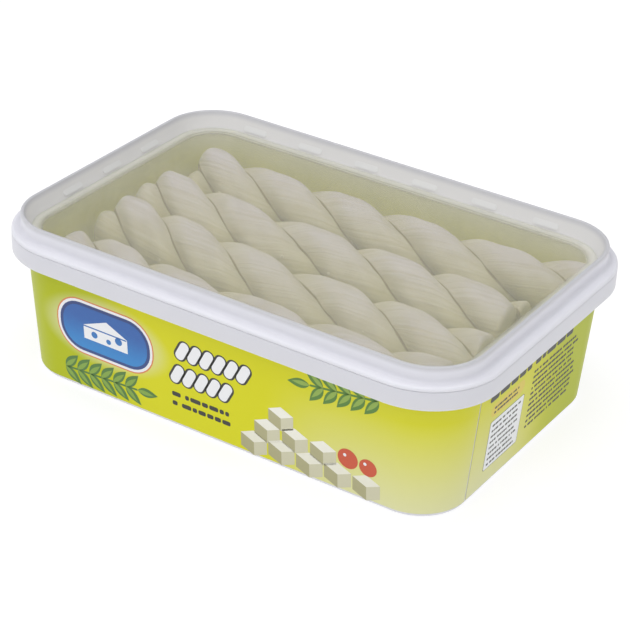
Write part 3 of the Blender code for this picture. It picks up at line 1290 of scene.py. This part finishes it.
@dataclass
class Artwork:
    """A plain generic design for the label: a badge, a heap of cheese, twigs, and blocks in place of words.

    Sizes and places are in millimetres, along the wall from its middle and up from the table.
    """

    label: Label
    badge_at: Flat = (-45.5, 26.5)
    badge_size: Flat = (38.0, 19.5)
    badge_round: float = 9.0
    heap: tuple = ((6.4, 15.0, 5), (13.4, 20.4, 3), (20.4, 25.9, 1))  # height, first cube, how many
    cube_edge: float = 6.2
    cube_pitch: float = 10.9
    tomatoes: tuple = ((51.6, 14.8, 3.8), (59.2, 14.2, 3.3))  # place, height, radius
    leaf_size: Flat = (8.6, 3.6)
    leaf_pitch: float = 5.2
    leaf_spread: float = 44.0
    stroke_rows: tuple = ((32.0, -13.0, 6), (22.0, -15.5, 5))  # height, first stroke, how many
    stroke_size: Flat = (8.0, 3.5)
    stroke_pitch: float = 4.9
    stroke_tilt: float = 62.0

    def print_shape(self, ink: str, wall: Wall, outline: list[Flat], layer: int) -> None:
        """Print one shape whose outline is in millimetres."""
        self.label.ink(ink, wall, [(along * MM, z * MM) for along, z in outline], layer)

    def badge(self, wall: Wall) -> None:
        """Print the blue badge with its white and orange borders and a wedge of cheese on it.

        Args:
            wall: The wall that it is printed on.
        """
        along, z = self.badge_at
        width, height = self.badge_size
        for layer, (ink, grow) in enumerate((("orange", 1.5), ("white", 1.0), ("navy", 0.0), ("blue", -1.2))):
            size = (width + 2 * grow, height + 2 * grow)
            outline = rounded_box(along, z, *size, self.badge_round + grow, steps=8)
            self.print_shape(ink, wall, outline, layer)
        wedge = [(-9.0, -4.2), (9.5, -4.2), (9.5, 1.2), (1.0, 5.4), (-9.0, 1.2)]
        self.print_shape("white", wall, [(along + x, z + y) for x, y in wedge], 4)
        for x, y, r in ((-4.5, -1.6, 1.3), (1.5, -2.3, 1.0), (5.8, -0.6, 1.5)):
            self.print_shape("blue", wall, disc(along + x, z + y, r), 5)
        self.print_shape("blue", wall, rounded_box(along, z + 0.9, 18.5, 0.5, 0.2), 5)

    def cube(self, wall: Wall, along: float, z: float, edge: float) -> None:
        """Print one cube of cheese seen from a corner, in three tones with a fine line between them.

        Args:
            wall: The wall that it is printed on.
            along: Where its near corner is along the wall.
            z: Height of that corner.
            edge: Length of its edges.
        """
        reach = edge * 0.87
        top = [(0.0, 0.0), (reach, edge * 0.4), (0.0, edge * 0.8), (-reach, edge * 0.4)]
        left = [(0.0, 0.0), (-reach, edge * 0.4), (-reach, -edge * 0.5), (0.0, -edge * 0.9)]
        right = [(0.0, 0.0), (0.0, -edge * 0.9), (reach, -edge * 0.5), (reach, edge * 0.4)]
        for ink, outline in (("cream", top), ("shade", left), ("buff", right)):
            self.print_shape(ink, wall, [(along + x * 0.96, z + y * 0.96) for x, y in outline], 1)

    def food(self, wall: Wall) -> None:
        """Print a stepped heap of cheese cubes with two tomatoes on its lower end.

        Args:
            wall: The wall that it is printed on.
        """
        for row, (z, first, count) in enumerate(self.heap):
            for number in range(count):
                along = first + self.cube_pitch * number
                self.cube(wall, along, z + 0.5 * (number % 2), self.cube_edge - 0.2 * row)
        for along, z, r in self.tomatoes:
            self.print_shape("red", wall, disc(along, z, r), 2)
            self.print_shape("white", wall, disc(along - 1.1, z + 1.2, 0.6), 3)

    def twig(self, wall: Wall, along: float, z: float, tilt: float, pairs: int) -> None:
        """Print a twig with pairs of slender two-tone leaves and one at its tip.

        Args:
            wall: The wall that it is printed on.
            along: Where it starts along the wall.
            z: The height where it starts.
            tilt: Its direction in degrees.
            pairs: How many pairs of leaves it bears.
        """
        run, rise = math.cos(math.radians(tilt)), math.sin(math.radians(tilt))
        reach = self.leaf_pitch * pairs / 2.0
        stem = rounded_box(along + reach * run, z + reach * rise, 2.0 * reach, 0.8, 0.4, tilt, 2)
        self.print_shape("green", wall, stem, 0)
        length, width = self.leaf_size
        for pair in range(pairs + 1):
            foot = (along + self.leaf_pitch * pair * run, z + self.leaf_pitch * pair * rise)
            for side in ((self.leaf_spread, -self.leaf_spread) if pair < pairs else (0.0,)):
                self.print_shape("green", wall, leaf(*foot, length, width, tilt + side), 0)
                inner = leaf(*foot, length * 0.8, width * 0.45, tilt + side - 3.0)
                self.print_shape("light_green", wall, inner, 1)

    def title(self, wall: Wall) -> None:
        """Print two rows of slanting white strokes with dark borders, like a laid rope, for a title.

        Args:
            wall: The wall that it is printed on.
        """
        length, width = self.stroke_size
        for z, first, count in self.stroke_rows:
            for number in range(count):
                along = first + self.stroke_pitch * number
                for layer, (ink, grow) in enumerate((("black", 1.0), ("white", 0.0)), 1):
                    stroke = rounded_box(along, z, length + grow, width + 1.6 * grow, 3.0, self.stroke_tilt)
                    self.print_shape(ink, wall, stroke, layer)

    def lines(self, wall: Wall, left: float, right: float, top: float, rows: int, pitch: float, height: float,
              seed: int) -> None:
        """Print rows of short dark dashes where small print would stand.

        Args:
            wall: The wall that they are printed on.
            left: Where the rows start along the wall.
            right: Where they end.
            top: Height of the first row.
            rows: How many rows there are.
            pitch: Distance from row to row.
            height: Height of a dash.
            seed: The random source for the dashes' lengths.
        """
        rng = np.random.default_rng(seed)
        for row in range(rows):
            along = left
            z = top - row * pitch
            end = right - rng.uniform(0.0, 0.12) * (right - left)
            while along < end - height:
                width = min(rng.uniform(0.8, 2.6) * height, end - along)
                dash = rounded_box(along + width / 2.0, z, width, height, height * 0.3, steps=2)
                self.print_shape("black", wall, dash, 2)
                along += width + (0.35 if rng.uniform() < 0.75 else 1.1) * height

    def side(self, wall: Wall, seed: int) -> None:
        """Print a side wall: a bold line on top, small print, and a white table under a yellow field.

        Args:
            wall: The side wall.
            seed: The first of the four random sources of its lines.
        """
        self.lines(wall, -30.0, 34.0, 37.2, 1, 1.0, 2.4, seed)
        self.lines(wall, 0.0, 33.0, 33.0, 11, 2.2, 0.9, seed + 1)
        self.print_shape("yellow", wall, rounded_box(-17.0, 31.5, 22.0, 5.0, 2.4), 0)
        self.lines(wall, -26.0, -8.0, 32.3, 2, 1.8, 0.8, seed + 2)
        self.print_shape("black", wall, rounded_box(-16.0, 17.5, 22.4, 19.4, 0.8), 0)
        self.print_shape("white", wall, rounded_box(-16.0, 17.5, 22.0, 19.0, 0.7), 1)
        self.lines(wall, -25.5, -6.5, 25.0, 8, 2.2, 0.8, seed + 3)

    def build(self) -> None:
        """Print all four walls and make one piece of each ink."""
        for number, wall in enumerate((Wall.FRONT, Wall.BACK)):
            self.badge(wall)
            self.food(wall)
            self.twig(wall, 63.0, 41.5, -172.0, 5)
            self.twig(wall, -64.0, 7.2, 3.0, 6)
            self.title(wall)
            self.lines(wall, -18.0, 8.0, 13.6, 2, 3.8, 1.7, 40 + number)
        self.side(Wall.RIGHT, 50)
        self.side(Wall.LEFT, 60)
        for name, mesh in self.label.meshes.items():
            fit(mesh.piece("print_" + name, [self.label.inks[name]], 20.0), "printed_film")


# ---------------------------------------------------------------- studio


@dataclass
class Studio:
    """The camera, the soft lights and the pale floor. Angles are in degrees, the camera's lengths in mm."""

    azimuth: float = 32.327
    elevation: float = 29.830
    roll: float = 2.358
    distance: float = 743.18
    lens: float = 123.02
    target: Point = (2.045, -0.174, 24.976)
    open_to: Point = (0.25, 0.92, 0.3)
    floor_reach: float = 6.0

    def camera(self) -> None:
        """Set the camera at the viewing angle, with no shift and no depth of field."""
        az, el, roll = (math.radians(a) for a in (self.azimuth, self.elevation, self.roll))
        back = Vector((math.sin(az) * math.cos(el), -math.cos(az) * math.cos(el), math.sin(el)))
        right = (-back).cross(Vector((0.0, 0.0, 1.0))).normalized()
        up = right.cross(-back)
        level_right, level_up = right.copy(), up.copy()
        right = math.cos(roll) * level_right + math.sin(roll) * level_up
        up = -math.sin(roll) * level_right + math.cos(roll) * level_up
        data = bpy.data.cameras.new("camera")
        data.lens = self.lens
        data.sensor_width = 36.0
        data.clip_start = 0.01
        camera = bpy.data.objects.new("camera", data)
        place = Matrix((right, up, back)).transposed().to_4x4()
        place.translation = (Vector(self.target) + back * self.distance) * MM
        camera.matrix_world = place
        bpy.context.scene.collection.objects.link(camera)
        bpy.context.scene.camera = camera

    def softbox(self, name: str, place: Point, size: Flat, power: float) -> None:
        """Hang a white softbox that faces the tub.

        Args:
            name: The light's name.
            place: Where it hangs, in metres.
            size: Its width and height in metres.
            power: Its power in watts.
        """
        data = bpy.data.lights.new(name, "AREA")
        data.shape = "RECTANGLE"
        data.size, data.size_y = size
        data.energy = power
        light = bpy.data.objects.new(name, data)
        light.location = place
        light.rotation_euler = (Vector((0.0, 0.0, 0.03)) - Vector(place)).to_track_quat("-Z", "Y").to_euler()
        bpy.context.scene.collection.objects.link(light)

    def world(self, tint: str, front: float, back: float) -> None:
        """Set the surround: a soft tent of light that is open towards the back.

        Args:
            tint: Its colour.
            front: Its strength over and before the tub.
            back: Its strength behind the tub.
        """
        world = bpy.data.worlds.new("studio")
        world.use_nodes = True
        tree = world.node_tree
        background = tree.nodes["Background"]
        background.inputs["Color"].default_value = linear(tint)
        heading = add_node(tree, "TexCoord").outputs["Generated"]
        away = add_node(tree, "VectorMath", {0: heading, 1: self.open_to}, operation="DOT_PRODUCT")
        sockets = {"Value": away.outputs["Value"], "From Min": -0.3, "From Max": 0.9,
                   "To Min": front, "To Max": back}
        fade = add_node(tree, "MapRange", sockets, interpolation_type="SMOOTHSTEP")
        tree.links.new(fade.outputs[0], background.inputs["Strength"])
        bpy.context.scene.world = world

    def floor(self, finish: bpy.types.Material) -> None:
        """Lay the floor.

        Args:
            finish: The studio paper.
        """
        mesh = Mesh()
        reach = self.floor_reach
        mesh.add([(-reach, -reach, 0.0), (reach, -reach, 0.0), (reach, reach, 0.0), (-reach, reach, 0.0)],
                 [(0, 1, 2, 3)])
        mesh.piece("floor", [finish])

    def build(self) -> None:
        """Set up the whole studio."""
        bpy.context.scene.view_settings.view_transform = "Standard"
        self.camera()
        self.world("F4F4FA", 0.82, 0.35)
        self.softbox("top softbox", (0.1, -0.1, 1.25), (1.6, 1.6), 10.0)
        self.floor(StudioFloor("white studio paper", "9A9A9A", 0.9).make())


# ---------------------------------------------------------------- assembly


def ropes(reach: float) -> list[Rope]:
    """List the four ropes, each placed from its own solid's box.

    Args:
        reach: How far a strand stands out from its rope's middle.

    Returns:
        The ropes from the back of the tub to its front.
    """
    slim = Strand(6.0 * MM, 6.8 * MM, 7.8 * MM)
    # Each plan holds the solid's name, the crests, the left and right sway, how far in millimetres the ends
    # and the middle lie from where the solid's box puts them, and the strand.
    plans = (
        ("rope_1", (-96.0, -66.0, -36.0, -6.0, 26.0, 56.5, 87.0), Sway(-45 * MM, 2.5 * MM, 0.8 * MM),
         Sway(45 * MM, 5 * MM, 0.6 * MM), (-1.0, 4.5), (-0.4, -1.7), Strand()),
        ("rope_2", (-91.0, -65.0, -35.0, 1.0, 31.5, 61.5, 92.0), Sway(-20 * MM, 4 * MM, 0.5 * MM),
         Sway(45 * MM, 0.0, 0.0), (0.0, -0.8), (-0.4, -1.8), Strand()),
        ("rope_3", (-91.0, -66.0, -40.0, -8.0, 26.0, 53.5, 84.0), Sway(10 * MM, 7 * MM, 1.0 * MM),
         Sway(45 * MM, 0.0, 0.0), (0.0, -3.2), (-0.6, -2.5), Strand()),
        ("rope_4", (-103.0, -73.0, -48.0, -20.0, 16.5, 47.0, 78.0, 108.0), Sway(-20 * MM, 3 * MM, 0.5 * MM),
         Sway(45 * MM, 3 * MM, 0.0), (-2.0, 0.0), (-1.5, -3.3), slim),
    )
    found = []
    for seed, (node, crests, left, right, more, off, strand) in enumerate(plans, 1):
        low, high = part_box(node)
        ends = (low[0] + more[0] * MM, high[0] + more[1] * MM)
        middle = (low[1] + reach + off[0] * MM, low[2] + reach + off[1] * MM)
        found.append(Rope(node, crests, left, right, ends, middle, strand, seed))
    return found


def printing_inks() -> dict[str, bpy.types.Material]:
    """Mix the inks of the label's print.

    Returns:
        The inks by name.
    """
    leaf_reach = {"low": 8.0 * MM, "high": 44.0 * MM}
    mixed = {
        "navy": PrintInk("navy ink", "2E4A86", 0.3, second="2B3F78"),
        "blue": PrintInk("blue ink", "2D84C8", 0.3, second="2A5FA8", low=18.0 * MM, high=32.0 * MM),
        "white": PrintInk("white ink", "E8E9EA", 0.35, second="F0F1F2"),
        "orange": PrintInk("orange ink", "D8804A", 0.35, second="D8804A"),
        "black": PrintInk("black ink", "33342C", 0.4, second="2E2F2B"),
        "green": PrintInk("leaf green ink", "4E7A33", 0.35, second="55822F", **leaf_reach),
        "red": PrintInk("red ink", "B03A1C", 0.3, second="C8502E", low=4.0 * MM, high=13.0 * MM),
        "cream": PrintInk("cream ink", "E2E0CC", 0.35, second="EFEEE2", low=2.0 * MM, high=22.0 * MM),
        "shade": PrintInk("olive shade ink", "A8A47A", 0.35, second="B9B58E"),
        "buff": PrintInk("buff shade ink", "C9C6A8", 0.35, second="D2CFB4"),
        "light_green": PrintInk("light green ink", "7FA23C", 0.35, second="8FAE48", **leaf_reach),
        "yellow": PrintInk("yellow ink", "E0C832", 0.35, second="DCC83C"),
    }
    return {name: ink.make() for name, ink in mixed.items()}


def main() -> None:
    """Build the studio and every piece of the tub in order."""
    logging.basicConfig(level=logging.INFO, format="%(message)s")
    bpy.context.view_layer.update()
    Studio().build()

    skirt_high, lid_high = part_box("tub")[1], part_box("lid")[1]
    sweep = Sweep(skirt_high[0], skirt_high[1])
    tub = Tub(sweep, skirt_bottom=45.7 * MM, shoulder=52.4 * MM, lip_top=skirt_high[2], wall_inset=5.28 * MM)
    white = MouldedPolypropylene("white polypropylene, moulded", "D7D7DC", 0.36, glow=0.4,
                                 depth=1.5 * MM).make()
    # the tub's inner skin: yellow as painted brine tint and shade, paling to painted light near the brine's top
    wet = MouldedPolypropylene("white polypropylene, polished", "FAF6A0", 0.25, glow=0.4, depth=1.5 * MM,
                               thin="FFFFFA", painted_tone_from=39.0 * MM, painted_tone_to=52.0 * MM).make()
    tub.build(white, wet)
    # the rim: painted shade greys the top of the lid's ring
    milky = MouldedPolypropylene("natural polypropylene, thick", "E4E4E9", 0.36, glow=0.6, depth=1.8 * MM,
                                 thin="C6C6C8").make()
    panel_inset = 8.0 * MM
    open_half = (sweep.half_length - panel_inset, sweep.half_width - panel_inset)
    clear = ClearPolypropylene("natural polypropylene, thin", "E3E1E3", 0.12, half=open_half).make()
    # the ring's inner face: the same painted shade greys its top
    warm = MouldedPolypropylene("natural polypropylene, inner", "DDDCD9", 0.36, glow=0.0,
                                thin="C6C6C8").make()
    # the lugs: a shade brighter than the ring's inner face, as a painted highlight
    lugs = MouldedPolypropylene("natural polypropylene, lugs", "E0E0DD", 0.36, glow=0.0).make()
    seat = 0.12 * MM
    lid = Lid(sweep, under=tub.shoulder + seat, top=lid_high[2], panel_top=53.4 * MM, lip_top=tub.lip_top)
    lid.build(milky, clear, warm, lugs)
    Liquid(sweep, tub, level=51.3 * MM).build(Brine("brine", "FFFFFF", 0.03, 1.34).make())

    cheese = PulledCurd("string cheese curd", "D6CFD3", 0.45, 1.4).make()
    reach = Strand().offset + Strand().depth
    laid = ropes(reach)
    for rope in laid:
        rope.build(cheese, tub)
    valleys = [(a.middle[0] + b.middle[0]) / 2.0 for a, b in zip(laid, laid[1:])]
    Crumbs().build(cheese, valleys, laid[0].middle[1] + 7.5 * MM)

    label_low, label_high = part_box("label")
    label = Label(sweep, tub, label_low[2], label_high[2], seam=-36.8 * MM, inks=printing_inks())
    art = Artwork(label)
    glow = label.on_wall(Wall.FRONT, art.badge_at[0] * MM, art.badge_at[1] * MM, 0.0)
    label.film(PrintedFilm("lime printed film", "D6D414", 0.4, glow_at=glow).make())
    art.build()


if __name__ == "__main__":
    main()
